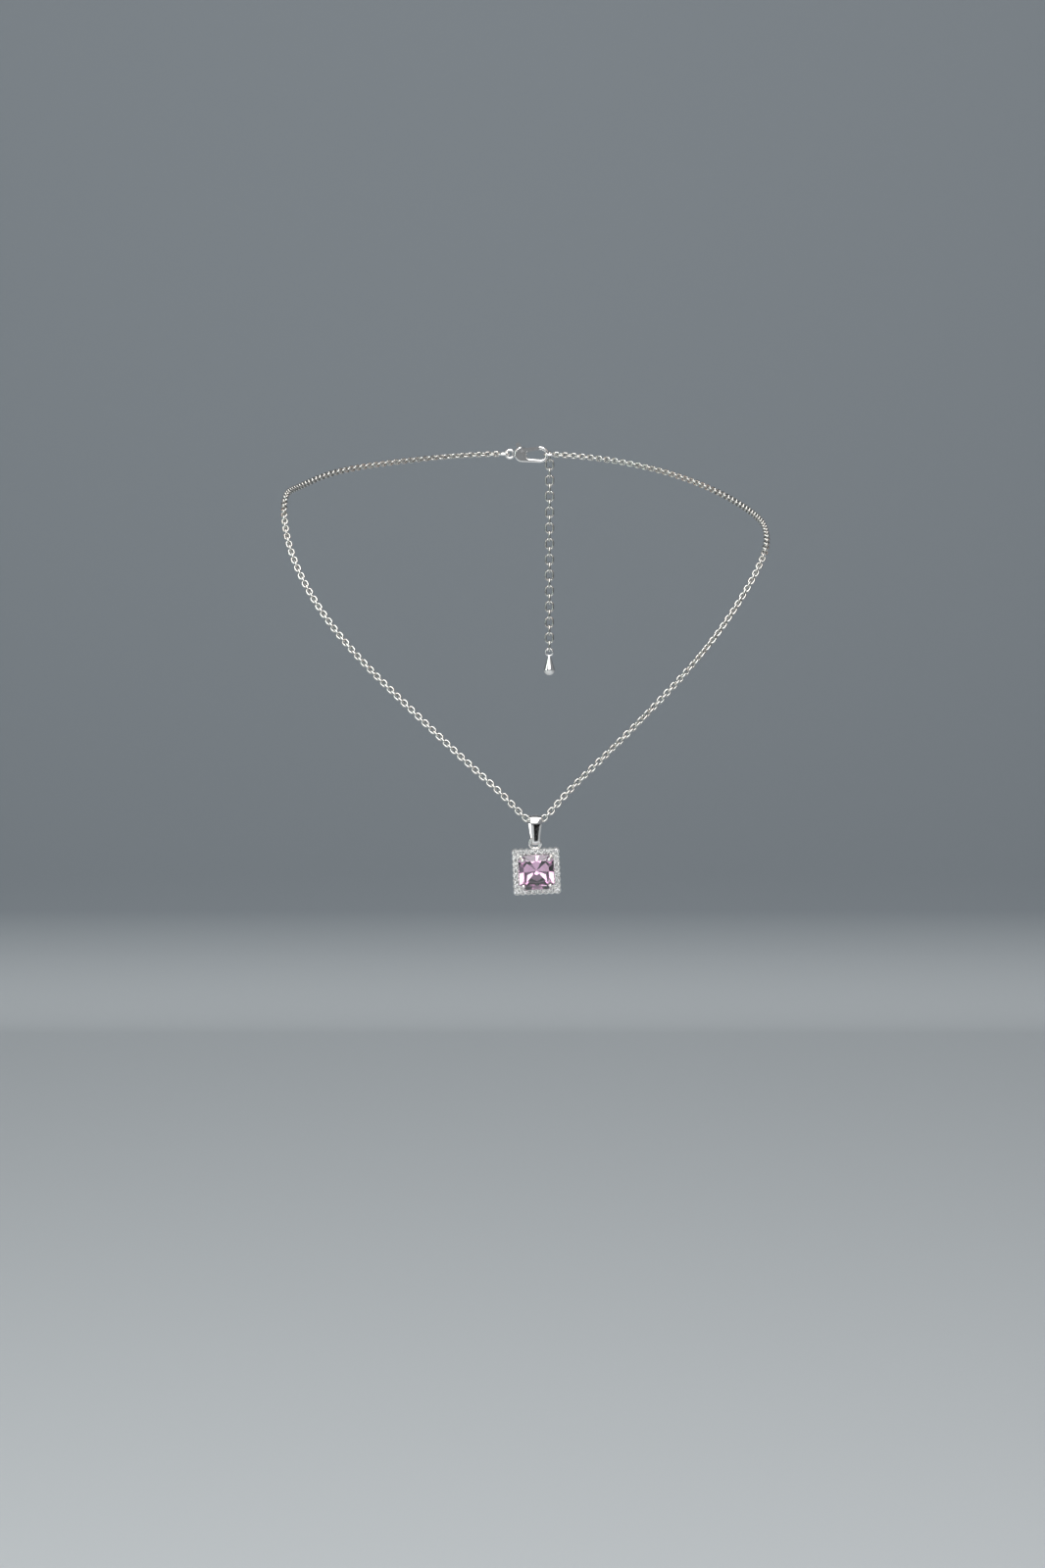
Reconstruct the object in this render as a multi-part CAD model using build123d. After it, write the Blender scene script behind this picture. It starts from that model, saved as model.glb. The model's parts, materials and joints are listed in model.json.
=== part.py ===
from build123d import *
import math
import os

# Pendant necklace, worn shape: the chain lies as it does on a neck and chest.
# Millimetres. X to the right seen from the front, Z up, the front faces -Y.
# Origin: centre of the neck opening, level with the sides of the neck.

# Fine cable chain
LINK_LENGTH = 1.95
LINK_WIDTH = 1.53
LINK_WIRE = 0.42
LINK_PITCH = 1.07
BOTTOM_HALF_COUNT = 9
FRONT_LEVELS = 6
FRONT_LEFT_COUNT = 13
FRONT_RIGHT_COUNT = 12
SHOULDER_COUNT = 12
BACK_LEVELS = 3
BACK_COUNT = 25

# Route of the chain, from the bail outwards and back to the nape
BAIL_CHAIN_POINT = (1.95, -41.5, -60.2)
LEFT_ROUTE = [
    (0.65, -41.45, -59.95),
    (-0.46, -41.2, -59.13),
    (-4.2, -39.9, -55.5),
    (-11.0, -37.3, -49.6),
    (-24.5, -31.7, -37.8),
    (-37.3, -24.7, -26.1),
    (-47.1, -16.3, -14.4),
    (-52.4, -8.4, -3.6),
    (-53.7, 0.0, 3.3),
    (-52.0, 17.6, 5.4),
    (-45.7, 36.0, 6.8),
]
RIGHT_ROUTE = [
    (3.25, -41.45, -59.95),
    (4.36, -41.2, -59.13),
    (7.8, -39.7, -55.5),
    (14.1, -36.9, -49.6),
    (26.8, -31.2, -37.9),
    (38.5, -24.2, -26.2),
    (47.9, -15.7, -14.4),
    (52.3, -9.4, -7.2),
    (53.7, 0.0, -3.3),
    (52.0, 17.6, -0.6),
    (45.7, 36.0, 2.2),
]
# The nape: x, share of the depth, z
NAPE_DEPTH = 66.57
NAPE_LEFT = [(-34.0, 0.777, 7.8), (-18.5, 0.939, 8.6), (0.0, 1.0, 9.0), (18.5, 0.939, 8.6)]
NAPE_RIGHT = [(34.0, 0.777, 5.6), (18.5, 0.939, 8.0), (0.0, 1.0, 9.0), (-18.5, 0.939, 8.6)]
NECK_AXIS_Y = 8.0
SIDE_SHARE = 0.35
UP_SHARE = 0.3
# Turn of the links about the chain, in degrees, at a link number from the bail
LEFT_ROLL = [(0, 0), (48, 0), (80, 45), (150, 45), (174, 0)]
RIGHT_ROLL = [
    (0, 0),
    (8, 0),
    (13, 30),
    (17, 5),
    (22, 32),
    (26, 5),
    (31, 35),
    (36, 0),
    (41, 5),
    (54, 45),
    (144, 45),
    (168, 0),
]

# Round rings at the two chain ends
RING_WIRE = 0.55
RING_RADIUS = 1.425
RING_PLAY = 0.295

# Lobster clasp, in its own frame: X along the chain, Y out from the neck
CLASP_THICKNESS = 1.4
CLASP_REAR = ((-1.9, 0), 1.9)
CLASP_NOSE = ((2.5, 0), 2.0)
OPENING_REAR = ((0.1, -0.05), 1.0)
OPENING_NOSE = ((2.6, -0.05), 1.15)
CLASP_NOSE_X = 3.75
CLASP_ROUNDING = 0.35
CLASP_EYE_X = -4.9
CLASP_EYE_RADIUS = 0.95
CLASP_EYE_WIRE = 0.7
CLASP_PIN_RADIUS = 0.3
CLASP_PIN = (-2.0, 0.85)
GATE_CENTRE = (-0.05, 1.75)
GATE_SIZE = (4.5, 1.9)
SLOT_CENTRE = (-2.15, 1.15)
SLOT_SIZE = (3.5, 2.5)
LEVER_PLAY = 0.03
LEVER_WIDTH = 1.0
LEVER_HUB = (CLASP_PIN, 0.62)
LEVER_NOSE = ((2.0, 1.5), 0.42)
LEVER_TAB = ((-3.0, 2.35), 0.5)
LEVER_END_X = 2.15
SPRING_ROOM = 1.5
SPRING_ROOM_WIDTH = 0.5
SPRING_RADIUS = 0.47
SPRING_WIRE = 0.14
SPRING_PITCH = 0.17
SPRING_TURNS = 2

# Extender chain and its drop
TAIL_LENGTH = 3.0
TAIL_WIDTH = 2.3
TAIL_WIRE = 0.5
TAIL_PITCH = 1.94
TAIL_COUNTS = (9, 7, 9)
DROP_LENGTH = 3.4
DROP_RADIUS = 1.4
DROP_NECK_RADIUS = 0.3
DROP_NECK_GAP = 0.1
DROP_EYE_RADIUS = 0.85
DROP_EYE_WIRE = 0.45
DROP_PLAY = 0.04

# Halo pendant, in its own frame: X right, Y up, Z out of the front
PENDANT_CENTRE = (2.27, -42.5, -70.93)
PENDANT_LEAN = -3.0
PENDANT_SWING = 2.5
STONES_PER_SIDE = 7
STONE_PITCH = 1.235
STONE_RADIUS = 0.55
STONE_TABLE_RADIUS = 0.32
STONE_CROWN = 0.17
STONE_PAVILION = 0.46
STONE_GIRDLE = 0.04
STONE_LIFT = 0.03
SEAT_PLAY = 0.03
SEAT_LOW_RADIUS = 0.16
SEAT_LIFT = 0.01
WINDOW_RADIUS = 0.3
SCALLOP_RADIUS = 0.76
TRAY_EDGE = 0.35
TRAY_EDGE_CORNER = 0.3
TRAY_INNER = 3.6
TRAY_CORNER = 1.0
TRAY_DEPTH = 1.1
BEAD_RADIUS = 0.17
BEAD_HEIGHT = 0.04
BEAD_INSET = 0.45
BEAD_OUTSET = 0.41
CENTRE_SIDE = 3.75
CENTRE_BEVEL = 4.4
CENTRE_CORNER = 4.48
CENTRE_GIRDLE = 0.6
CENTRE_GIRDLE_DEPTH = 0.12
CENTRE_TABLE = 1.35
CROWN_ANGLE = 35.0
PAVILION_ANGLE = 38.0
RAIL_OUTER = 2.6
RAIL_OUTER_CORNER = 0.8
RAIL_INNER = 1.9
RAIL_INNER_CORNER = 0.5
RAIL_BACK = -2.3
RAIL_FRONT = -1.7
CLAW_RADIUS = 0.36
CLAW_TIP_RADIUS = 0.42
CLAW_PATH = [(2.2, -2.0), (3.25, 0.3), (2.85, 1.1)]
TOP_RING_HEIGHT = 6.15
TOP_RING_DEPTH = -0.5
TOP_RING_RADIUS = 1.125
TOP_RING_WIRE = 0.65

# Bail, in its own frame: X along the chain, Z from the ring up to the chain
BAIL_EYE = 1.45
BAIL_WALL = 0.32
BAIL_TOP_WIDTH = 2.75
BAIL_TIP_WIDTH = 1.5
BAIL_TIP_RADIUS = 1.0
BAIL_BAR_TOP = 0.66
BAIL_BAR_BOTTOM = -0.35
BAIL_HOLE_RADIUS = 0.5
BAIL_YAW = 10.0
CHAIN_PLAY = 0.36
BAIL_FLARE = 0.25
RING_GROOVE_PLAY = 0.05


def slot_link(length, width, wire):
    """One oval link of round wire, lying in XY with its length along X."""
    bend = (width - wire) / 2
    straight = length - width
    profile = Plane.XZ * Location((bend, 0)) * Circle(wire / 2)
    half_ring = revolve(profile, Axis.Z, 180)
    right_end = Location((straight / 2, 0, 0), (0, 0, -90)) * half_ring
    left_end = Location((-straight / 2, 0, 0), (0, 0, 90)) * half_ring
    rod = Location((0, 0, 0), (0, 90, 0)) * Cylinder(wire / 2, straight)
    upper = Location((0, bend, 0)) * rod
    lower = Location((0, -bend, 0)) * rod
    return (right_end + left_end + upper + lower).solid()


def table_value(table, number):
    """Straight-line value between the rows of a (number, value) table."""
    for (low, first), (high, last) in zip(table, table[1:]):
        if number <= high:
            share = (number - low) / (high - low)
            return first + share * (last - first)
    return table[-1][1]


def chain_route():
    """The necklace's curve from nape to nape, and its length up to the bail."""
    left = LEFT_ROUTE + [(x, NAPE_DEPTH * share, z) for x, share, z in NAPE_LEFT]
    right = RIGHT_ROUTE + [(x, NAPE_DEPTH * share, z) for x, share, z in NAPE_RIGHT]
    points = [Vector(*p) for p in left[::-1] + [BAIL_CHAIN_POINT] + right]
    route = Edge.make_spline(points)
    share = route.param_at_point(Vector(*BAIL_CHAIN_POINT))
    return route, share * route.length


def route_points(side, count):
    """Contact points between links: half a pitch from the bail, then one each."""
    route, bail_at = chain_route()
    found = []
    for number in range(count + 1):
        along = bail_at + side * (number + 0.5) * LINK_PITCH
        found.append(route.position_at(along, position_mode=PositionMode.LENGTH))
    return found


def outward(point):
    """Direction in which the skin under a point of the chain faces."""
    flat = Vector(point.X * SIDE_SHARE, point.Y - NECK_AXIS_Y, 0).normalized()
    return (flat + Vector(0, 0, UP_SHARE)).normalized()


def place_link(shape, start, end, roll):
    """A link between two contact points, turned about the chain by roll."""
    along = (end - start).normalized()
    out = outward((start + end) / 2)
    normal = (out - along * out.dot(along)).normalized()
    frame = Plane(origin=(start + end) / 2, x_dir=along, z_dir=normal)
    return frame.location * Location((0, 0, 0), (roll, 0, 0)) * shape


def link_roll(number):
    """Roll of a numbered link: left of the bail is negative."""
    table = LEFT_ROLL if number < 0 else RIGHT_ROLL
    quarter = 90 * (abs(number) % 2)
    return table_value(table, abs(number)) + quarter


def save(name, shapes):
    """One STEP file for one named piece, or for a group of equal pieces."""
    solids = [solid for shape in shapes for solid in shape.solids()]
    export_step(Compound(children=solids), "parts/" + name + ".step")
    print(name, len(solids))


def show(name, point, axis=None):
    """Print a joint's or mount's point and axis in metres."""
    text = name + " " + str([round(v / 1000, 7) for v in tuple(point)])
    if axis is not None:
        text += " axis " + str([round(v, 6) for v in tuple(axis.normalized())])
    print(text)


# ---------------------------------------------------------------- fine chain
def build_chain():
    link = slot_link(LINK_LENGTH, LINK_WIDTH, LINK_WIRE)
    left_total = BOTTOM_HALF_COUNT + FRONT_LEVELS * FRONT_LEFT_COUNT + SHOULDER_COUNT
    left_total += BACK_LEVELS * BACK_COUNT
    right_total = BOTTOM_HALF_COUNT + FRONT_LEVELS * FRONT_RIGHT_COUNT + SHOULDER_COUNT
    right_total += BACK_LEVELS * BACK_COUNT
    left = route_points(-1, left_total)
    right = route_points(1, right_total)

    def run(points, first, count, side):
        shapes = []
        for number in range(first, first + count):
            start, end = points[number - 1], points[number]
            shapes.append(place_link(link, start, end, link_roll(side * number)))
        return shapes

    middle = place_link(link, left[0], right[0], link_roll(0))
    bottom = run(left, 1, BOTTOM_HALF_COUNT, -1) + run(right, 1, BOTTOM_HALF_COUNT, 1)
    save("chain_bottom", [middle] + bottom)

    at_left = at_right = BOTTOM_HALF_COUNT
    show("hinge bottom", (left[at_left] + right[at_right]) / 2, left[at_left] - right[at_right])
    for level in range(FRONT_LEVELS, 0, -1):
        save("front_left_%d" % level, run(left, at_left + 1, FRONT_LEFT_COUNT, -1))
        save("front_right_%d" % level, run(right, at_right + 1, FRONT_RIGHT_COUNT, 1))
        at_left += FRONT_LEFT_COUNT
        at_right += FRONT_RIGHT_COUNT
        middle_point = (left[at_left] + right[at_right]) / 2
        show("hinge front_%d" % level, middle_point, left[at_left] - right[at_right])
    save("shoulder_left", run(left, at_left + 1, SHOULDER_COUNT, -1))
    save("shoulder_right", run(right, at_right + 1, SHOULDER_COUNT, 1))
    at_left += SHOULDER_COUNT
    at_right += SHOULDER_COUNT
    for level in range(1, BACK_LEVELS + 1):
        middle_point = (left[at_left] + right[at_right]) / 2
        show("hinge back_%d" % level, middle_point, right[at_right] - left[at_left])
        save("back_left_%d" % level, run(left, at_left + 1, BACK_COUNT, -1))
        save("back_right_%d" % level, run(right, at_right + 1, BACK_COUNT, 1))
        at_left += BACK_COUNT
        at_right += BACK_COUNT
    return left[at_left], right[at_right]


# ------------------------------------------------------- clasp and extender
def two_circles(low, high):
    """Outline that wraps two circles, each given as its centre and radius."""
    both = Sketch()
    for centre, radius in (low, high):
        both += Location(centre) * Circle(radius)
    return make_hull(both.edges())


def clasp_shapes():
    """Body, lever, pin and spring of the clasp, flat in XY, thickness along Z."""
    through = 2 * CLASP_THICKNESS
    pin_place = Location((*CLASP_PIN, 0))
    outline = two_circles(CLASP_REAR, CLASP_NOSE)
    opening = two_circles(OPENING_REAR, OPENING_NOSE)
    body = extrude(outline - opening, CLASP_THICKNESS / 2, both=True)
    body = fillet(body.edges(), CLASP_ROUNDING)
    body += Location((CLASP_EYE_X, 0, 0)) * Torus(CLASP_EYE_RADIUS, CLASP_EYE_WIRE / 2)
    body -= Location((*GATE_CENTRE, 0)) * Box(*GATE_SIZE, through)
    body -= Location((*SLOT_CENTRE, 0)) * Box(*SLOT_SIZE, LEVER_WIDTH + 2 * LEVER_PLAY)
    body -= pin_place * Cylinder(CLASP_PIN_RADIUS, through)
    body = largest(body)

    plan = two_circles(LEVER_HUB, LEVER_NOSE) + two_circles(LEVER_HUB, LEVER_TAB)
    lever = extrude(plan, LEVER_WIDTH / 2, both=True)
    lever -= pin_place * Box(SPRING_ROOM, SPRING_ROOM, SPRING_ROOM_WIDTH)
    lever -= pin_place * Cylinder(CLASP_PIN_RADIUS + LEVER_PLAY, through)
    beyond = Box(5, 5, 5, align=(Align.MIN, Align.CENTER, Align.CENTER))
    lever -= Location((LEVER_END_X, 0, 0)) * beyond
    pin = pin_place * Cylinder(CLASP_PIN_RADIUS, CLASP_THICKNESS)
    height = SPRING_PITCH * SPRING_TURNS
    coil = Helix(pitch=SPRING_PITCH, height=height, radius=SPRING_RADIUS)
    wire = Plane(coil @ 0, z_dir=coil % 0) * Circle(SPRING_WIRE / 2)
    spring = sweep(wire, path=coil, is_frenet=True)
    return body, lever, pin, pin_place * Location((0, 0, -height / 2)) * spring


def build_clasp(left_end, right_end):
    """Everything between the two chain ends, and the tail that hangs from it."""
    along = (right_end - left_end).normalized()
    out = Vector(0, 1, 0)
    up = along.cross(out).normalized()
    out = up.cross(along)
    gap = (right_end - left_end).length
    print("closing gap", round(gap, 3))

    # The clasp lies between the rings; the play is shared by its two ends.
    ring_reach = 2 * RING_RADIUS - RING_PLAY
    eye_inner = CLASP_EYE_X - (CLASP_EYE_RADIUS - CLASP_EYE_WIRE / 2)
    clasp_span = CLASP_NOSE_X - eye_inner - RING_WIRE
    play = (2 * ring_reach + clasp_span - gap) / 2
    print("clasp play each end", round(play, 3))
    clasp_x = ring_reach - RING_WIRE / 2 - play - eye_inner
    clasp_centre = left_end + along * clasp_x
    clasp_frame = Plane(origin=clasp_centre, x_dir=along, z_dir=out).location
    flip = clasp_frame * Location((0, 0, 0), (180, 0, 0))
    for name, shape in zip(
        ("clasp_body", "clasp_lever", "clasp_pin", "clasp_spring"), clasp_shapes()
    ):
        save(name, [flip * shape])
    lever_point = flip * Location((*CLASP_PIN, 0))
    show("hinge clasp_lever", lever_point.position, out)
    show("hinge clasp_roll", clasp_centre, along)

    ring = Torus(RING_RADIUS, RING_WIRE / 2)
    left_centre = left_end + along * (RING_RADIUS - RING_PLAY)
    right_centre = right_end - along * (RING_RADIUS - RING_PLAY)
    save("end_ring_left", [Plane(origin=left_centre, z_dir=up).location * ring])
    save("end_ring_right", [Plane(origin=right_centre, z_dir=up).location * ring])

    link = slot_link(TAIL_LENGTH, TAIL_WIDTH, TAIL_WIRE)
    hang = right_centre + out * RING_RADIUS
    show("hinge tail_1", hang, along)
    down, side = Vector(0, 0, -1), Vector(1, 0, 0)
    slack = TAIL_PITCH - TAIL_LENGTH + 2 * TAIL_WIRE
    centre = hang + down * (TAIL_LENGTH / 2 - TAIL_WIRE - RING_WIRE / 2 + slack / 2)
    number = 0
    for part, count in enumerate(TAIL_COUNTS, 1):
        shapes = []
        for _ in range(count):
            normal = side if number % 2 == 0 else Vector(0, 1, 0)
            shapes.append(Plane(origin=centre, x_dir=down, z_dir=normal).location * link)
            end_wire = centre + down * (TAIL_LENGTH / 2 - TAIL_WIRE / 2)
            centre = centre + down * TAIL_PITCH
            number += 1
        save("extender_%d" % part, shapes)
        axis = Vector(0, 1, 0) if number % 2 == 1 else side
        show("hinge after extender_%d" % part, end_wire, axis)

    eye = Torus(DROP_EYE_RADIUS, DROP_EYE_WIRE / 2)
    eye_drop = DROP_EYE_RADIUS - DROP_EYE_WIRE / 2 - TAIL_WIRE / 2 - DROP_PLAY
    eye_centre = end_wire + down * eye_drop
    neck_height = -DROP_EYE_RADIUS - DROP_NECK_GAP
    neck = ((0, neck_height), DROP_NECK_RADIUS)
    outline = two_circles(neck, ((0, neck_height - DROP_LENGTH), DROP_RADIUS))
    right_half = Rectangle(40, 40, align=(Align.MIN, Align.CENTER))
    bulb = revolve(Plane.XZ * (outline & right_half), Axis.Z, 360)
    charm = bulb + Location((0, 0, 0), (90, 0, 0)) * eye
    save("extender_drop", [Location(tuple(eye_centre)) * charm])


# -------------------------------------------------------------------- pendant
def square_positions():
    """Stone centres round the halo, one list for each side."""
    half = STONE_PITCH * STONES_PER_SIDE / 2
    steps = [-half + STONE_PITCH * n for n in range(STONES_PER_SIDE)]
    return {
        "top": [(x, half) for x in steps],
        "right": [(half, -y) for y in steps],
        "bottom": [(-x, -half) for x in steps],
        "left": [(-half, y) for y in steps],
    }


def bead_positions():
    """Grain beads between neighbouring stones, on both edges of the halo."""
    half = STONE_PITCH * STONES_PER_SIDE / 2
    found = []
    for n in range(STONES_PER_SIDE):
        step = -half + STONE_PITCH * (n + 0.5)
        for edge in (half - BEAD_INSET, half + BEAD_OUTSET):
            found += [(step, edge), (step, -edge), (edge, step), (-edge, step)]
    return found


def small_stone():
    """Round brilliant: table, crown, girdle and pavilion."""
    profile = Polyline(
        (0, -STONE_PAVILION),
        (STONE_RADIUS, -STONE_GIRDLE / 2),
        (STONE_RADIUS, STONE_GIRDLE / 2),
        (STONE_TABLE_RADIUS, STONE_CROWN),
        (0, STONE_CROWN),
        (0, -STONE_PAVILION),
    )
    return revolve(Plane.XZ * make_face(profile), Axis.Z, 360)


def halo_tray():
    """Scalloped square frame with a seat for each stone and its grain beads."""
    half = STONE_PITCH * STONES_PER_SIDE / 2
    outer = 2 * (half + TRAY_EDGE)
    plan = RectangleRounded(outer, outer, TRAY_EDGE_CORNER)
    for places in square_positions().values():
        for place in places:
            plan += Location(place) * Circle(SCALLOP_RADIUS)
    plan -= RectangleRounded(2 * TRAY_INNER, 2 * TRAY_INNER, TRAY_CORNER)
    tray = extrude(plan, -TRAY_DEPTH)
    hang_down = (Align.CENTER, Align.CENTER, Align.MAX)
    seat = Cone(SEAT_LOW_RADIUS, STONE_RADIUS + SEAT_PLAY, STONE_PAVILION, align=hang_down)
    window = Cylinder(WINDOW_RADIUS, 3 * TRAY_DEPTH)
    for places in square_positions().values():
        tray -= [Location((x, y, SEAT_LIFT)) * seat for x, y in places]
        tray -= [Location((x, y, 0)) * window for x, y in places]
    for x, y in bead_positions():
        tray += Location((x, y, BEAD_HEIGHT)) * Sphere(BEAD_RADIUS)
    return tray


def cut_flat(shape, direction, distance):
    """Cut away everything further than distance along direction."""
    plane = Plane(origin=direction * distance, z_dir=direction)
    return shape - plane.location * Box(30, 30, 30, align=(Align.CENTER, Align.CENTER, Align.MIN))


def centre_stone():
    """Square stone with cut corners, a table, crown and pavilion facets."""
    width = 3 * CENTRE_SIDE
    stone = cut_flat(Box(width, width, width), Vector(0, 0, 1), CENTRE_TABLE)
    for number in range(16):
        angle = math.radians(22.5 * number)
        reach = (CENTRE_SIDE, CENTRE_BEVEL, CENTRE_CORNER, CENTRE_BEVEL)[number % 4]
        flat = Vector(math.cos(angle), math.sin(angle), 0)
        stone = cut_flat(stone, flat, reach)
        tilt = math.radians(CROWN_ANGLE)
        crown = flat * math.sin(tilt) + Vector(0, 0, math.cos(tilt))
        top = CENTRE_GIRDLE + CENTRE_GIRDLE_DEPTH / 2
        stone = cut_flat(stone, crown, reach * math.sin(tilt) + top * math.cos(tilt))
        tilt = math.radians(PAVILION_ANGLE)
        pavilion = flat * math.sin(tilt) - Vector(0, 0, math.cos(tilt))
        low = CENTRE_GIRDLE - CENTRE_GIRDLE_DEPTH / 2
        stone = cut_flat(stone, pavilion, reach * math.sin(tilt) - low * math.cos(tilt))
    return stone


def setting_basket():
    """Rear rail with four claws that rise at the corners and end in round tips."""
    rail = RectangleRounded(2 * RAIL_OUTER, 2 * RAIL_OUTER, RAIL_OUTER_CORNER)
    rail -= RectangleRounded(2 * RAIL_INNER, 2 * RAIL_INNER, RAIL_INNER_CORNER)
    basket = Location((0, 0, RAIL_BACK)) * extrude(rail, RAIL_FRONT - RAIL_BACK)
    for turn in range(4):
        points = [Vector(flat, flat, height) for flat, height in CLAW_PATH]
        claw = Location(tuple(points[-1])) * Sphere(CLAW_TIP_RADIUS)
        for start, end in zip(points, points[1:]):
            middle = Plane(origin=start, z_dir=end - start).location
            length = (end - start).length
            claw += middle * Cylinder(
                CLAW_RADIUS, length, align=(Align.CENTER, Align.CENTER, Align.MIN)
            )
            claw += Location(tuple(start)) * Sphere(CLAW_RADIUS)
        basket += Location((0, 0, 0), (0, 0, 90 * turn)) * claw
    return basket


def largest(shape):
    """The biggest solid of a shape, without slivers left by a cut."""
    return shape.solids().sort_by(SortBy.VOLUME)[-1]


def pendant_frame():
    """Plane of the halo, which leans back by the lean and is swung a little."""
    lean = math.radians(PENDANT_LEAN)
    swing = math.radians(PENDANT_SWING)
    normal = Vector(0, -math.cos(lean), math.sin(lean))
    up = Vector(0, math.sin(lean), math.cos(lean))
    across = Vector(1, 0, 0) * math.cos(swing) + up * math.sin(swing)
    return Plane(origin=PENDANT_CENTRE, x_dir=across, z_dir=normal)


def build_pendant():
    frame = pendant_frame()
    tray = largest(halo_tray())
    stone = largest(centre_stone())
    basket = largest(setting_basket().solid().cut(tray))
    basket = largest(basket.cut(stone))
    top_ring = Location((0, TOP_RING_HEIGHT, TOP_RING_DEPTH)) * Torus(
        TOP_RING_RADIUS, TOP_RING_WIRE / 2
    )
    save("halo_tray", [frame.location * tray])
    save("setting_basket", [frame.location * basket])
    save("centre_stone", [frame.location * stone])
    save("top_ring", [frame.location * largest(top_ring.solid().cut(tray))])
    gem = small_stone()
    for side, places in square_positions().items():
        gems = [frame.location * Location((x, y, STONE_LIFT)) * gem for x, y in places]
        save("halo_stones_" + side, gems)
    ring_centre = frame.location * Location((0, TOP_RING_HEIGHT, TOP_RING_DEPTH))
    show("hinge pendant", ring_centre.position, frame.z_dir)
    return ring_centre.position, frame


def build_bail(ring_centre, frame):
    chain_point = Vector(*BAIL_CHAIN_POINT)
    up = (chain_point - ring_centre).normalized()
    reach = (chain_point - ring_centre).length
    eye_height = reach - (BAIL_EYE - LINK_WIDTH / 2 - CHAIN_PLAY)
    tip_low = BAIL_BAR_BOTTOM - eye_height
    bar_top = BAIL_BAR_TOP - eye_height
    high = BAIL_EYE + BAIL_WALL
    tip = ((0, tip_low + BAIL_TIP_RADIUS), BAIL_TIP_RADIUS)
    hole = ((0, bar_top + BAIL_HOLE_RADIUS), BAIL_HOLE_RADIUS)
    outer = two_circles(((0, 0), high), tip)
    inner = two_circles(((0, 0), BAIL_EYE), hole)
    loop = extrude(Plane.YZ * (outer - inner), BAIL_TOP_WIDTH / 2, both=True)
    front = Polyline(
        (-BAIL_TOP_WIDTH / 2, high),
        (BAIL_TOP_WIDTH / 2, high),
        (BAIL_TIP_WIDTH / 2, tip_low),
        (-BAIL_TIP_WIDTH / 2, tip_low),
        (-BAIL_TOP_WIDTH / 2, high),
    )
    loop &= extrude(Plane.XZ * make_face(front), 2 * high, both=True)
    flare_length = BAIL_TOP_WIDTH / 4
    flare = Cone(BAIL_EYE, BAIL_EYE + BAIL_FLARE, flare_length)
    for side in (-1, 1):
        middle = side * (BAIL_TOP_WIDTH - flare_length) / 2
        loop -= Location((middle, 0, 0), (0, side * 90, 0)) * flare
    across = Vector(1, 0, 0) - up * up.X
    place = Plane(origin=ring_centre + up * eye_height, x_dir=across, z_dir=up).location
    bail = place * Location((0, 0, 0), (0, 0, BAIL_YAW)) * loop
    groove = Torus(TOP_RING_RADIUS, TOP_RING_WIRE / 2 + RING_GROOVE_PLAY)
    groove_plane = Plane(origin=ring_centre, x_dir=frame.x_dir, z_dir=frame.z_dir)
    bail -= groove_plane.location * groove
    save("bail", [bail])
    show("hinge bail", chain_point, Vector(-1, 0, 0))


os.makedirs("parts", exist_ok=True)
chain_left_end, chain_right_end = build_chain()
build_clasp(chain_left_end, chain_right_end)
pendant_ring_centre, halo_plane = build_pendant()
build_bail(pendant_ring_centre, halo_plane)
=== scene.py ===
import json
import math
import random

import bmesh
import bpy
from mathutils import Matrix, Vector


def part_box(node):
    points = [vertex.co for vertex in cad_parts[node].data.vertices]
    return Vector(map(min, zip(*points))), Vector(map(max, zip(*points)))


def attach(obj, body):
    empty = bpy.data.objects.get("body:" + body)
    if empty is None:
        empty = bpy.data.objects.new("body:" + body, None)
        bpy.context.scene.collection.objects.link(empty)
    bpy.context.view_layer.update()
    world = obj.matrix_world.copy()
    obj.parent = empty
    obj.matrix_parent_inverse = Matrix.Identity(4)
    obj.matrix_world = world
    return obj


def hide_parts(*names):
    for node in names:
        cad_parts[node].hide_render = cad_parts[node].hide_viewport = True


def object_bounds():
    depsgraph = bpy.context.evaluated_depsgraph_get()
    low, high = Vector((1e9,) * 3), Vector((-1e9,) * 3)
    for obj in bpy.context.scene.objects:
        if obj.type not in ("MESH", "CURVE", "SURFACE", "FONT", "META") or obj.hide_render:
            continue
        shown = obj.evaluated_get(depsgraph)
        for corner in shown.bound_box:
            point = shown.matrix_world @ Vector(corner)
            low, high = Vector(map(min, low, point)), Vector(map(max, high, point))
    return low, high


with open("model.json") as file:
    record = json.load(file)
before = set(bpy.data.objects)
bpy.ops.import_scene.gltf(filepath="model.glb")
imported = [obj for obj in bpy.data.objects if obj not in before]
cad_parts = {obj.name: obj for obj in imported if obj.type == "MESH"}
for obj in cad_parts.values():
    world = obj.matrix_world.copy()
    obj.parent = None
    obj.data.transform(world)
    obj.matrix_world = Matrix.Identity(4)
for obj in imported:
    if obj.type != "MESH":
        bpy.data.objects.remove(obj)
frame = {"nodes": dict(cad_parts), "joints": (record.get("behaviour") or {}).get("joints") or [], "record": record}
cad_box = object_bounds()

MM = 0.001
ROUND = 2 * math.pi

# Camera
CAMERA_PLACE = Vector((-0.7, -680.1, 72.1)) * MM
CAMERA_DOWN = math.radians(11.0)
CAMERA_LENS = 70.2

# Stage: a floor that sweeps up into a wall, and a dark card that only reflections see
FLOOR_DROP = 0.2836
FLOOR_FRONT = -3.0
STAGE_HALF_WIDTH = 3.0
WALL_START = 0.86
WALL_HEIGHT = 2.5
SWEEP = 0.07
FLOOR_PAINT = (0.60, 0.63, 0.65, 1)
WALL_PAINT = (0.27, 0.295, 0.32, 1)
PAINT_BLEND = (0.001, 0.05)
FLAG_PLACE = -0.36
FLAG_SIDES = (0.042, 0.235)
FLAG_HEIGHTS = (-0.186, -0.09)

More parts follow.
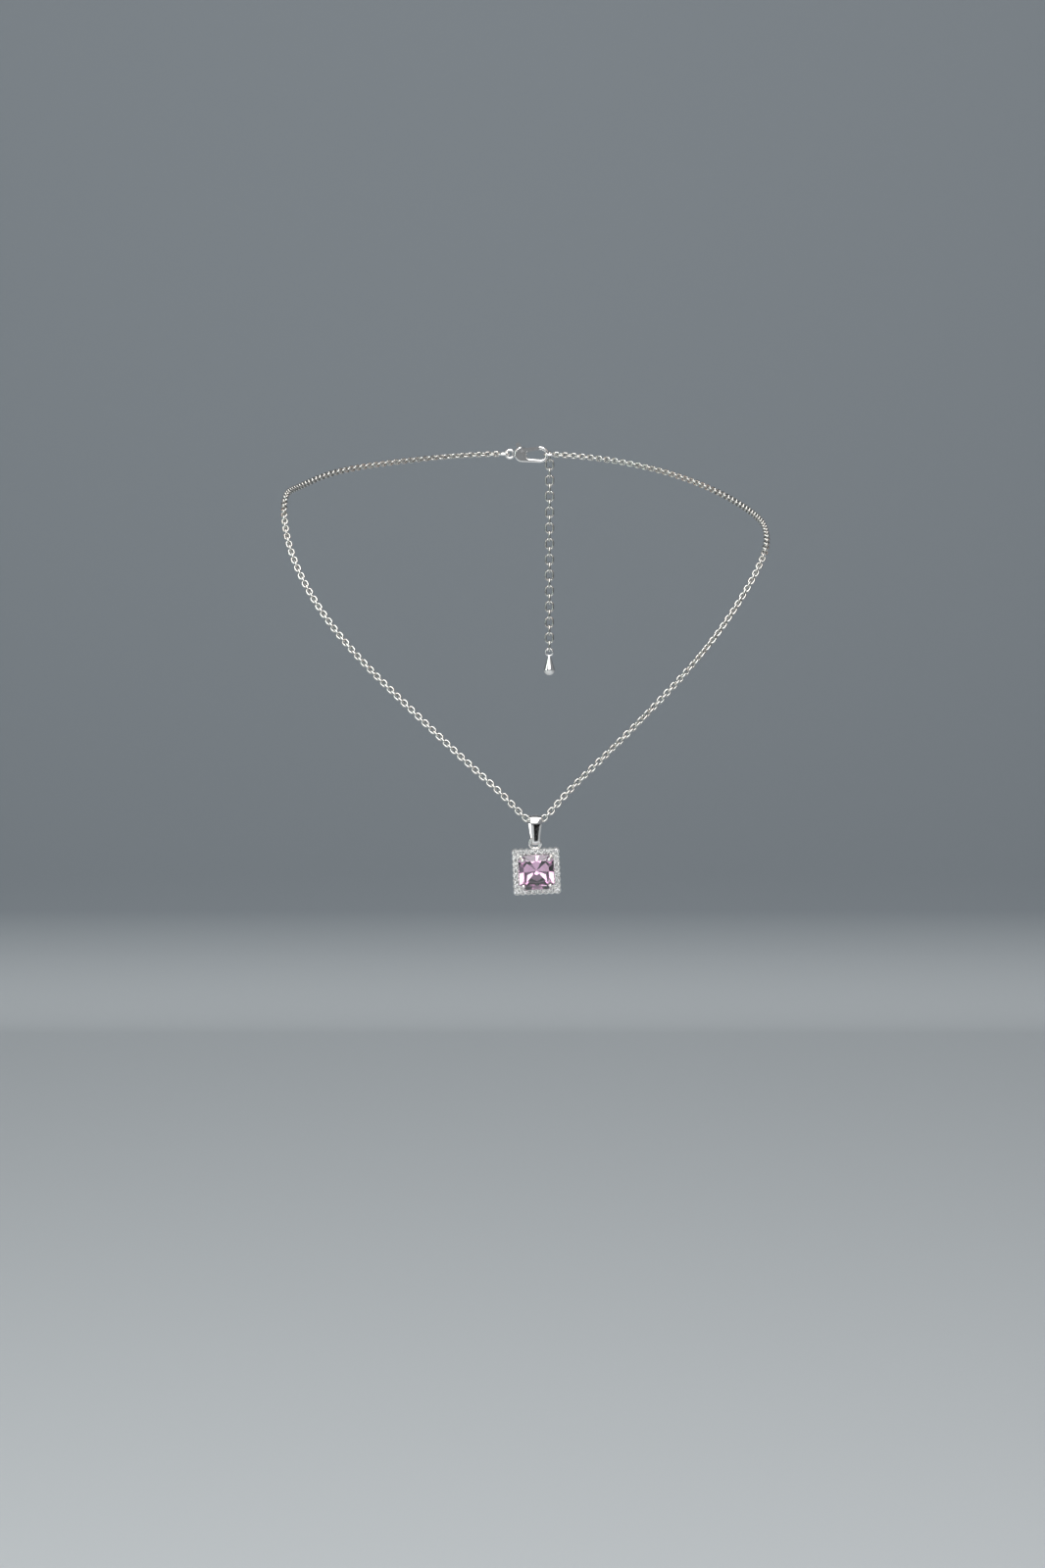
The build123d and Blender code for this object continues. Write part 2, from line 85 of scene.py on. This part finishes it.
# Links of the fine chain and of the extender: length, width, wire
FINE_LINK = (1.95 * MM, 1.53 * MM, 0.42 * MM)
EXTENDER_LINK = (3.0 * MM, 2.3 * MM, 0.5 * MM)
WIRE_STEPS = 12
BEND_STEPS = 11
SEAM_SWELL = 1.05
LINK_LEAN = 2.0

# Bail: radii of its eye and of its tip, half widths, and where chain and ring sit
EYE_INNER = 1.45 * MM
EYE_OUTER = 1.77 * MM
TIP_INNER = 0.5 * MM
TIP_OUTER = 1.0 * MM
BAIL_TOP_HALF = 1.375 * MM
BAIL_TIP_HALF = 0.75 * MM
BAIL_DOME = 0.13 * MM
BAIL_EDGE = 0.04 * MM
BAIL_YAW = math.radians(10.0)
CHAIN_TO_EYE = 0.325 * MM
RING_TO_BAR = 0.66 * MM
RING_TO_TIP = 0.35 * MM
ARC_STEPS = 14
SIDE_STEPS = 10
DOME_STEPS = 16

# Ring on top of the halo: its size, and its place from the halo's centre
TOP_RING_RADIUS = 1.125 * MM
TOP_RING_WIRE = 0.65 * MM
RING_TO_HALO = 6.15 * MM
RING_DEPTH = 0.5 * MM

# Stones
CENTRE_REACH = (3.75 * MM, 4.4 * MM, 4.48 * MM, 4.4 * MM)
GIRDLE_LOW = 0.54 * MM
GIRDLE_HIGH = 0.66 * MM
TABLE_HEIGHT = 1.35 * MM
# Pavilion facets in mirrored pairs: turn from the side, slope, reach at the girdle
PAVILION_CHEVRONS = ((14, 41, 4.2 * MM), (22, 45, 4.35 * MM))
HALO_STONE_RADIUS = 0.55 * MM
HALO_CROWN = 0.17 * MM


# ------------------------------------------------------------------ materials
def new_material(name):
    """An empty node material with its output, and the node tree."""
    material = bpy.data.materials.new(name)
    material.use_nodes = True
    tree = material.node_tree
    tree.nodes.clear()
    output = tree.nodes.new("ShaderNodeOutputMaterial")
    shader = tree.nodes.new("ShaderNodeBsdfPrincipled")
    tree.links.new(shader.outputs[0], output.inputs["Surface"])
    return material, tree, shader


def noise(tree, scale, detail=4.0, roughness=0.6):
    """Noise in the object's own coordinates; scale is in waves per metre."""
    place = tree.nodes.new("ShaderNodeTexCoord")
    texture = tree.nodes.new("ShaderNodeTexNoise")
    texture.inputs["Scale"].default_value = scale
    texture.inputs["Detail"].default_value = detail
    texture.inputs["Roughness"].default_value = roughness
    tree.links.new(place.outputs["Object"], texture.inputs["Vector"])
    return texture.outputs["Fac"]


def ramp(tree, source, low, high):
    """Colour ramp between two colours over the middle of a noise."""
    node = tree.nodes.new("ShaderNodeValToRGB")
    node.color_ramp.elements[0].position = 0.35
    node.color_ramp.elements[0].color = low
    node.color_ramp.elements[1].position = 0.65
    node.color_ramp.elements[1].color = high
    tree.links.new(source, node.inputs["Fac"])
    return node.outputs["Color"]


def stretch(tree, source, low, high):
    """Map a noise onto a range of numbers."""
    node = tree.nodes.new("ShaderNodeMapRange")
    node.inputs["From Min"].default_value = 0.3
    node.inputs["From Max"].default_value = 0.7
    node.inputs["To Min"].default_value = low
    node.inputs["To Max"].default_value = high
    tree.links.new(source, node.inputs["Value"])
    return node.outputs["Result"]


def silver(name, cool, warm, smooth, rough, scratch):
    """Polished plated silver: tone drifts, hazy patches, fine handling marks."""
    material, tree, shader = new_material(name)
    shader.inputs["Metallic"].default_value = 1.0
    tree.links.new(ramp(tree, noise(tree, 900), cool, warm), shader.inputs["Base Color"])
    haze = stretch(tree, noise(tree, 2600), smooth, rough)
    tree.links.new(haze, shader.inputs["Roughness"])
    bump = tree.nodes.new("ShaderNodeBump")
    bump.inputs["Strength"].default_value = scratch
    bump.inputs["Distance"].default_value = 0.01 * MM
    tree.links.new(noise(tree, 9000, 6.0), bump.inputs["Height"])
    tree.links.new(bump.outputs["Normal"], shader.inputs["Normal"])
    return material


def gem(name, low, high, index, clear=1.0, body=None, density=0.0):
    """Clear cut stone with a faint drift of tint; body colours the longer paths."""
    material, tree, shader = new_material(name)
    shader.inputs["Transmission Weight"].default_value = clear
    shader.inputs["Roughness"].default_value = 0.0
    shader.inputs["IOR"].default_value = index
    tree.links.new(ramp(tree, noise(tree, 350, 1.0), low, high), shader.inputs["Base Color"])
    if body:
        depth = tree.nodes.new("ShaderNodeVolumeAbsorption")
        depth.inputs["Color"].default_value = body
        depth.inputs["Density"].default_value = density
        output = tree.nodes["Material Output"]
        tree.links.new(depth.outputs[0], output.inputs["Volume"])
    return material


CHAIN_SILVER = silver("chain_silver", (0.62, 0.64, 0.61, 1), (0.58, 0.54, 0.51, 1), 0.12, 0.25, 0.15)
CAST_SILVER = silver("cast_silver", (0.94, 0.93, 0.92, 1), (0.89, 0.86, 0.83, 1), 0.06, 0.15, 0.1)
TRAY_SILVER = silver("tray_silver", (0.96, 0.95, 0.93, 1), (0.93, 0.9, 0.87, 1), 0.25, 0.4, 0.1)
SPRING_STEEL = silver("spring_steel", (0.62, 0.62, 0.63, 1), (0.55, 0.54, 0.53, 1), 0.25, 0.4, 0.3)
PINK_BODY = (0.97, 0.3, 0.78, 1)
PINK_TINTS = ((0.92, 0.78, 0.83, 1), (0.9, 0.75, 0.86, 1))
PINK_STONE = gem("pink_stone", *PINK_TINTS, 2.15, 1.0, PINK_BODY, 60.0)
WHITE_STONE = gem("white_stone", (0.98, 0.97, 0.95, 1), (0.95, 0.94, 0.93, 1), 2.15, 0.86)


# -------------------------------------------------------------------- helpers
def finish_piece(name, bm, body, material, nodes, smooth=True):
    """Turn a bmesh into a piece that rides on a body in place of CAD nodes."""
    mesh = bpy.data.meshes.new(name)
    bm.to_mesh(mesh)
    bm.free()
    for face in mesh.polygons:
        face.use_smooth = smooth
    piece = bpy.data.objects.new(name, mesh)
    bpy.context.collection.objects.link(piece)
    mesh.materials.append(material)
    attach(piece, body)
    if nodes:
        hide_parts(*nodes)
    return piece


def node_body(node):
    """The body a CAD node rides on."""
    for body, nodes in frame["record"]["behaviour"]["bodies"].items():
        if node in nodes:
            return body
    raise ValueError(node)


def islands(node):
    """The separate solids of a CAD node, each as a list of its points."""
    bm = bmesh.new()
    bm.from_mesh(frame["nodes"][node].data)
    bmesh.ops.remove_doubles(bm, verts=bm.verts, dist=0.0005 * MM)
    left = set(bm.verts)
    found = []
    for start in bm.verts:
        if start not in left:
            continue
        left.remove(start)
        group = [start]
        for vert in group:
            for edge in vert.link_edges:
                other = edge.other_vert(vert)
                if other in left:
                    left.remove(other)
                    group.append(other)
        found.append([vert.co.copy() for vert in group])
    bm.free()
    return found


def link_frame(points):
    """Centre and axes of one oval link: X along it, Z out of its plane."""
    low = Vector([min(p[i] for p in points) for i in range(3)])
    high = Vector([max(p[i] for p in points) for i in range(3)])
    centre = (low + high) / 2
    far = max(points, key=lambda p: (p - centre).length)
    along = (far - centre).normalized()
    for _ in range(12):
        pull = Vector((0, 0, 0))
        for point in points:
            arm = point - centre
            pull += arm * arm.dot(along)
        along = pull.normalized()
    across = along.orthogonal().normalized()
    for _ in range(24):
        pull = Vector((0, 0, 0))
        for point in points:
            arm = point - centre
            arm -= along * arm.dot(along)
            pull += arm * arm.dot(across)
        across = pull.normalized()
    normal = along.cross(across)
    turn = Matrix((along, across, normal)).transposed().to_4x4()
    return Matrix.Translation(centre) @ turn


def oval_path(length, width, wire):
    """Centre line of an oval link, as points with their outward directions."""
    bend = (width - wire) / 2
    straight = (length - width) / 2
    points = []
    for side in (1, -1):
        for step in range(BEND_STEPS + 1):
            angle = side * math.pi / 2 - math.pi * step / BEND_STEPS
            out = Vector((math.cos(angle), math.sin(angle), 0))
            points.append((out * bend + Vector((side * straight, 0, 0)), out))
    return points


def add_link(bm, place, size, seam):
    """One link of round wire, with a faint soldered seam on one long side."""
    length, width, wire = size
    rings = []
    path = oval_path(length, width, wire)
    for number, (point, out) in enumerate(path):
        swell = SEAM_SWELL if number == seam else 1.0
        ring = []
        for step in range(WIRE_STEPS):
            angle = ROUND * step / WIRE_STEPS
            lift = out * math.cos(angle) + Vector((0, 0, math.sin(angle)))
            ring.append(bm.verts.new(place @ (point + lift * (wire / 2 * swell))))
        rings.append(ring)
    for here, there in zip(rings, rings[1:] + rings[:1]):
        for step in range(WIRE_STEPS):
            after = (step + 1) % WIRE_STEPS
            bm.faces.new((here[step], there[step], there[after], here[after]))


def chain_piece(node, size):
    """A run of links in place of a CAD chain node, link by link."""
    bm = bmesh.new()
    rng = random.Random(node)
    for points in islands(node):
        place = link_frame(points)
        lean = Matrix.Rotation(math.radians(rng.uniform(-LINK_LEAN, LINK_LEAN)), 4, "X")
        seam = rng.choice((0, BEND_STEPS, BEND_STEPS + 1, 2 * BEND_STEPS + 1))
        add_link(bm, place @ lean, size, seam)
    bmesh.ops.recalc_face_normals(bm, faces=bm.faces)
    finish_piece(node + "_links", bm, node_body(node), CHAIN_SILVER, [node])


def add_torus(bm, place, radius, wire, around=48, section=16):
    """A round ring of round wire in the XY plane of place."""
    rings = []
    for number in range(around):
        turn = ROUND * number / around
        out = Vector((math.cos(turn), math.sin(turn), 0))
        ring = []
        for step in range(section):
            angle = ROUND * step / section
            lift = out * math.cos(angle) + Vector((0, 0, math.sin(angle)))
            ring.append(bm.verts.new(place @ (out * radius + lift * wire / 2)))
        rings.append(ring)
    for here, there in zip(rings, rings[1:] + rings[:1]):
        for step in range(section):
            after = (step + 1) % section
            bm.faces.new((here[step], here[after], there[after], there[step]))


# ----------------------------------------------------------------- the pendant
def joint(name):
    """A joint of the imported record, by name."""
    for found in frame["joints"]:
        if found["name"] == name:
            return found
    raise ValueError(name)


def pendant_place():
    """The halo's plane, from the sway joint and the centre stone's box."""
    sway = joint("pendant_sway")
    front = Vector(sway["axis"]).normalized()
    ring = Vector(sway["pos_m"])
    low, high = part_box("halo_tray")
    middle = (Vector(low) + Vector(high)) / 2
    down = middle - ring
    down -= front * down.dot(front)
    up = -down.normalized()
    across = up.cross(front)
    centre = ring - up * RING_TO_HALO + front * RING_DEPTH
    turn = Matrix((across, up, front)).transposed().to_4x4()
    return Matrix.Translation(centre) @ turn


def facet_solid(flats):
    """The convex solid inside a list of (direction, distance) flats."""
    bm = bmesh.new()
    bmesh.ops.create_cube(bm, size=20 * MM)
    for direction, distance in flats:
        whole = bm.verts[:] + bm.edges[:] + bm.faces[:]
        cut = bmesh.ops.bisect_plane(
            bm,
            geom=whole,
            plane_co=direction * distance,
            plane_no=direction,
            clear_outer=True,
        )
        edges = [item for item in cut["geom_cut"] if isinstance(item, bmesh.types.BMEdge)]
        if edges:
            bmesh.ops.edgeloop_fill(bm, edges=edges)
    bmesh.ops.recalc_face_normals(bm, faces=bm.faces)
    return bm


def tilted(azimuth, slope, through, height, up):
    """A facet that leans by slope and passes a side point at through, height."""
    turn, lean = math.radians(azimuth), math.radians(slope)
    flat = Vector((math.cos(turn), math.sin(turn), 0))
    direction = flat * math.sin(lean) + Vector((0, 0, up * math.cos(lean)))
    distance = through * math.sin(lean) + up * height * math.cos(lean)
    return direction, distance


def centre_flats():
    """Facets of the square stone: outline, table, crown and pavilion chevrons."""
    flats = [(Vector((0, 0, 1)), TABLE_HEIGHT)]
    for number in range(16):
        azimuth = 22.5 * number
        reach = CENTRE_REACH[number % 4]
        flats.append(tilted(azimuth, 90, reach, 0, 1))
        crown = (33, 38, 32, 38)[number % 4]
        flats.append(tilted(azimuth, crown, reach, GIRDLE_HIGH, 1))
    for quarter in (0, 90, 180, 270):
        flats.append(tilted(quarter, 60, CENTRE_REACH[0], GIRDLE_LOW, -1))
        flats.append(tilted(quarter + 45, 54, CENTRE_REACH[2], GIRDLE_LOW, -1))
        for offset, slope, reach in PAVILION_CHEVRONS:
            for turn in (-offset, offset):
                flats.append(tilted(quarter + turn, slope, reach, GIRDLE_LOW, -1))
    return flats


def build_centre_stone(place):
    """The faceted pink stone in place of the plain one."""
    bm = facet_solid(centre_flats())
    bm.transform(place)
    finish_piece("centre_stone_cut", bm, "pendant", PINK_STONE, ["centre_stone"], False)


def brilliant_flats(radius):
    """Facets of a small round brilliant, girdle at height 0."""
    flats = [(Vector((0, 0, 1)), radius * 0.32)]
    for number in range(16):
        flats.append(tilted(22.5 * number, 90, radius, 0, 1))
        flats.append(tilted(22.5 * number, 40, radius, radius * 0.03, 1))
        flats.append(tilted(22.5 * number, 42, radius, -radius * 0.03, -1))
    for number in range(8):
        flats.append(tilted(45 * number, 34, radius * 0.97, radius * 0.03, 1))
        flats.append(tilted(45 * number + 22.5, 22, radius * 0.72, radius * 0.27, 1))
        flats.append(tilted(45 * number, 40.5, radius * 0.985, -radius * 0.03, -1))
    return flats


def build_halo_stones(place):
    """A cut stone at each stone of the halo, turned at random about its axis."""
    front = place.to_3x3() @ Vector((0, 0, 1))
    cut = facet_solid(brilliant_flats(HALO_STONE_RADIUS))
    template = bpy.data.meshes.new("brilliant")
    cut.to_mesh(template)
    cut.free()
    rng = random.Random(7)
    for side in ("top", "right", "bottom", "left"):
        node = "halo_stones_" + side
        bm = bmesh.new()
        for points in islands(node):
            heights = [(p - place.translation).dot(front) for p in points]
            level = max(heights) - HALO_CROWN
            low = [min(p[i] for p in points) for i in range(3)]
            high = [max(p[i] for p in points) for i in range(3)]
            middle = place.inverted() @ ((Vector(low) + Vector(high)) / 2)
            spot = place @ Vector((middle.x, middle.y, level))
            turn = Matrix.Rotation(rng.uniform(0, ROUND), 4, "Z")
            stone = template.copy()
            stone.transform(Matrix.Translation(spot) @ place.to_3x3().to_4x4() @ turn)
            bm.from_mesh(stone)
            bpy.data.meshes.remove(stone)
        finish_piece(node + "_cut", bm, "pendant", WHITE_STONE, [node], False)


def loop_outline(top, top_radius, low, low_radius):
    """Half of the outline round two circles on one vertical line, from the top."""
    lean = math.asin((top_radius - low_radius) / (top - low))
    points = []
    for step in range(ARC_STEPS + 1):
        turn = math.pi / 2 - (math.pi / 2 + lean) * step / ARC_STEPS
        points.append(Vector((math.cos(turn), math.sin(turn))) * top_radius + Vector((0, top)))
    start = points[-1]
    end = Vector((math.cos(-lean), math.sin(-lean))) * low_radius + Vector((0, low))
    for step in range(1, SIDE_STEPS):
        points.append(start.lerp(end, step / SIDE_STEPS))
    for step in range(ARC_STEPS + 1):
        turn = -lean - (math.pi / 2 - lean) * step / ARC_STEPS
        points.append(Vector((math.cos(turn), math.sin(turn))) * low_radius + Vector((0, low)))
    return points


def bail_section(half, thickness):
    """Cross-section of the bail's band: flat inside, domed outside, soft edges."""
    dome = min(BAIL_DOME, thickness * 0.45)
    flat = half - 0.75 * BAIL_EDGE
    points = [(-flat, 0.0), (flat, 0.0), (half, BAIL_EDGE)]
    for step in range(DOME_STEPS + 1):
        across = half * math.cos(math.pi * step / DOME_STEPS)
        share = (across / half) ** 2
        edge = 1.25 * BAIL_EDGE * max(0.0, (share - 0.85) / 0.15)
        points.append((across, thickness - dome * share - edge))
    points.append((-half, BAIL_EDGE))
    return points


def build_bail():
    """Folded band: round the chain above, through the ring below."""
    chain = Vector(joint("bail_swing")["pos_m"])
    ring = Vector(joint("pendant_sway")["pos_m"])
    up = (chain - ring).normalized()
    eye = (chain - ring).length - CHAIN_TO_EYE
    across = (Vector((1, 0, 0)) - up * up.x).normalized()
    turn = Matrix((across, up.cross(across), up)).transposed().to_4x4()
    place = Matrix.Translation(ring + up * eye) @ turn @ Matrix.Rotation(BAIL_YAW, 4, "Z")
    outer = loop_outline(0, EYE_OUTER, -eye - RING_TO_TIP + TIP_OUTER, TIP_OUTER)
    inner = loop_outline(0, EYE_INNER, -eye + RING_TO_BAR + TIP_INNER, TIP_INNER)
    pairs = list(zip(inner, outer))
    sides = [(1, a, b) for a, b in pairs] + [(-1, a, b) for a, b in pairs[-2:0:-1]]
    bm = bmesh.new()
    rings = []
    lowest = outer[-1].y
    for side, near, far in sides:
        share = (EYE_OUTER - far.y) / (EYE_OUTER - lowest)
        half = BAIL_TOP_HALF + (BAIL_TIP_HALF - BAIL_TOP_HALF) * share
        out = (far - near).normalized()
        ring_points = []
        for x, height in bail_section(half, (far - near).length):
            spot = near + out * height
            ring_points.append(bm.verts.new(place @ Vector((x, side * spot.x, spot.y))))
        rings.append(ring_points)
    count = len(rings[0])
    for here, there in zip(rings, rings[1:] + rings[:1]):
        for step in range(count):
            after = (step + 1) % count
            bm.faces.new((here[step], here[after], there[after], there[step]))
    bmesh.ops.recalc_face_normals(bm, faces=bm.faces)
    finish_piece("bail_band", bm, "bail", CAST_SILVER, ["bail"])


def build_top_ring(place):
    """Round soldered ring that joins the halo to the bail."""
    bm = bmesh.new()
    spot = Matrix.Translation((0, RING_TO_HALO, -RING_DEPTH))
    add_torus(bm, place @ spot, TOP_RING_RADIUS, TOP_RING_WIRE)
    bmesh.ops.recalc_face_normals(bm, faces=bm.faces)
    finish_piece("top_ring_round", bm, "pendant", CAST_SILVER, ["top_ring"])


# ------------------------------------------------------------------- the rest
def dress(nodes, material):
    """Give carried-over CAD nodes their material."""
    for node in nodes:
        mesh = frame["nodes"][node].data
        mesh.materials.clear()
        mesh.materials.append(material)


def build_chain():
    """Every run of links, in the size of its chain."""
    for node in frame["nodes"]:
        if node.startswith(("front_", "back_", "shoulder_", "chain_")):
            chain_piece(node, FINE_LINK)
        elif node in ("extender_1", "extender_2", "extender_3"):
            chain_piece(node, EXTENDER_LINK)


# ---------------------------------------------------------------------- stage
def build_camera():
    """Camera in front of the necklace, looking slightly down on it."""
    data = bpy.data.cameras.new("camera")
    data.lens = CAMERA_LENS
    data.sensor_width = 36.0
    data.clip_start = 0.01
    camera = bpy.data.objects.new("camera", data)
    camera.location = CAMERA_PLACE
    camera.rotation_euler = (math.pi / 2 - CAMERA_DOWN, 0, 0)
    bpy.context.collection.objects.link(camera)
    bpy.context.scene.camera = camera


def build_stage():
    """Pale floor that sweeps up into a plain grey backdrop."""
    floor_level = cad_box[0][2] - FLOOR_DROP
    material, tree, shader = new_material("studio_paper")
    place = tree.nodes.new("ShaderNodeTexCoord")
    split = tree.nodes.new("ShaderNodeSeparateXYZ")
    tree.links.new(place.outputs["Object"], split.inputs["Vector"])
    rise = tree.nodes.new("ShaderNodeMapRange")
    rise.inputs["From Min"].default_value = floor_level + PAINT_BLEND[0]
    rise.inputs["From Max"].default_value = floor_level + PAINT_BLEND[1]
    tree.links.new(split.outputs["Z"], rise.inputs["Value"])
    mix = tree.nodes.new("ShaderNodeMix")
    mix.data_type = "RGBA"
    tree.links.new(rise.outputs["Result"], mix.inputs["Factor"])
    mix.inputs[6].default_value = FLOOR_PAINT
    mix.inputs[7].default_value = WALL_PAINT
    tree.links.new(mix.outputs[2], shader.inputs["Base Color"])
    shader.inputs["Roughness"].default_value = 0.95
    shader.inputs["Specular IOR Level"].default_value = 0.1
    profile = [(FLOOR_FRONT, 0.0)]
    for step in range(17):
        turn = math.pi / 2 * step / 16
        profile.append((WALL_START + SWEEP * math.sin(turn), SWEEP * (1 - math.cos(turn))))
    profile.append((WALL_START + SWEEP, WALL_HEIGHT))
    bm = bmesh.new()
    rows = []
    sides = (-STAGE_HALF_WIDTH, STAGE_HALF_WIDTH)
    for depth, rise_up in profile:
        rows.append([bm.verts.new((x, depth, floor_level + rise_up)) for x in sides])
    for here, there in zip(rows, rows[1:]):
        bm.faces.new((here[0], here[1], there[1], there[0]))
    mesh = bpy.data.meshes.new("studio_sweep")
    bm.to_mesh(mesh)
    bm.free()
    for face in mesh.polygons:
        face.use_smooth = True
    mesh.materials.append(material)
    sweep = bpy.data.objects.new("studio_sweep", mesh)
    bpy.context.collection.objects.link(sweep)


def build_flag():
    """Dark card below and to the right of the camera, which only reflections see."""
    material, tree, shader = new_material("flag_cloth")
    tree.links.new(
        ramp(tree, noise(tree, 40), (0.012, 0.012, 0.013, 1), (0.02, 0.019, 0.02, 1)),
        shader.inputs["Base Color"],
    )
    shader.inputs["Roughness"].default_value = 1.0
    shader.inputs["Specular IOR Level"].default_value = 0.0
    left, right = FLAG_SIDES
    low, high = FLAG_HEIGHTS
    bm = bmesh.new()
    corners = [(left, low), (right, low), (right, high), (left, high)]
    bm.faces.new([bm.verts.new((x, FLAG_PLACE, z)) for x, z in corners])
    mesh = bpy.data.meshes.new("flag")
    bm.to_mesh(mesh)
    bm.free()
    mesh.materials.append(material)
    flag = bpy.data.objects.new("flag", mesh)
    bpy.context.collection.objects.link(flag)
    flag.visible_camera = False
    flag.visible_diffuse = False
    flag.visible_shadow = False


def softbox(name, place, target, width, height, power, colour):
    """Rectangular area light at place, aimed at target."""
    data = bpy.data.lights.new(name, "AREA")
    data.shape = "RECTANGLE"
    data.size = width
    data.size_y = height
    data.energy = power
    data.color = colour
    light = bpy.data.objects.new(name, data)
    light.location = place
    aim = Vector(target) - Vector(place)
    light.rotation_euler = aim.to_track_quat("-Z", "Y").to_euler()
    bpy.context.collection.objects.link(light)


def build_lights():
    """Soft studio light: a window above the camera, a ceiling and weak side fills."""
    world = bpy.data.worlds.new("studio")
    world.use_nodes = True
    world.node_tree.nodes["Background"].inputs["Color"].default_value = (0.9, 0.95, 1.0, 1)
    world.node_tree.nodes["Background"].inputs["Strength"].default_value = 0.25
    bpy.context.scene.world = world
    bpy.context.scene.view_settings.view_transform = "Standard"
    middle = (0, -0.04, -0.05)
    softbox("window", (-0.05, -0.9, 0.58), middle, 1.15, 1.0, 8.5, (1.0, 1.0, 1.0))
    softbox("ceiling", (0.0, -0.25, 0.85), middle, 0.9, 0.8, 7, (1.0, 0.99, 0.97))
    softbox("left_wall", (-0.75, -0.25, 0.1), middle, 0.35, 0.6, 1.2, (0.85, 1.0, 0.92))
    softbox("warm_left", (-0.32, 0.1, 0.2), (-0.05, 0, 0), 0.2, 0.2, 0.12, (1.0, 0.72, 0.6))
    softbox("warm_right", (0.32, 0.1, 0.2), (0.05, 0, 0), 0.2, 0.2, 0.1, (1.0, 0.75, 0.65))


build_camera()
build_stage()
build_lights()
build_flag()
build_chain()
pendant = pendant_place()
build_centre_stone(pendant)
build_halo_stones(pendant)
build_bail()
build_top_ring(pendant)
dress(["halo_tray"], TRAY_SILVER)
dress(["setting_basket", "clasp_body", "clasp_lever"], CAST_SILVER)
dress(["end_ring_left", "end_ring_right", "extender_drop"], CAST_SILVER)
dress(["clasp_pin", "clasp_spring"], SPRING_STEEL)
